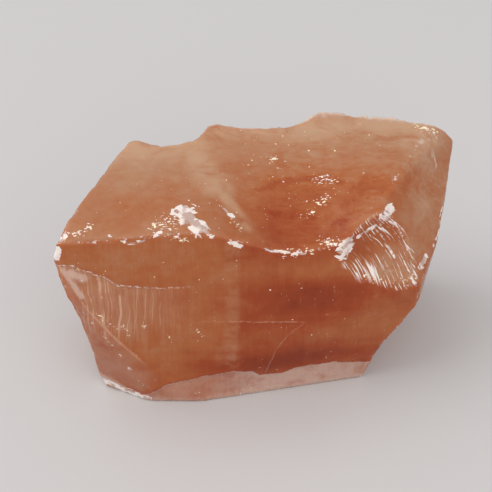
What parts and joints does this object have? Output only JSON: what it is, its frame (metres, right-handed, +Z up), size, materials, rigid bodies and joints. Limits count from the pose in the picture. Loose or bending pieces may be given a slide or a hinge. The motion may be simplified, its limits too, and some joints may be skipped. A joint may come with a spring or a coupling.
{
  "type": "calcite specimen",
  "caption": "Hand-size broken chunk of translucent honey-red calcite with flat cleavage faces, shell-shaped fracture scars and a flat base to rest on.",
  "frame": {"origin": "centre of the bounding box's bottom, on the flat base", "axes": "+Z up, +X along the chunk's length to the right, -Y towards the large cleavage face at the front"},
  "size_m": [0.0762, 0.0422, 0.0453],
  "materials": {
    "calcite": "glossy, translucent honey to red-brown calcite, cloudy in veils, white where the edges are crushed"
  },
  "bodies": {
    "root": {"calcite_chunk": "calcite"}
  },
  "joints": []
}
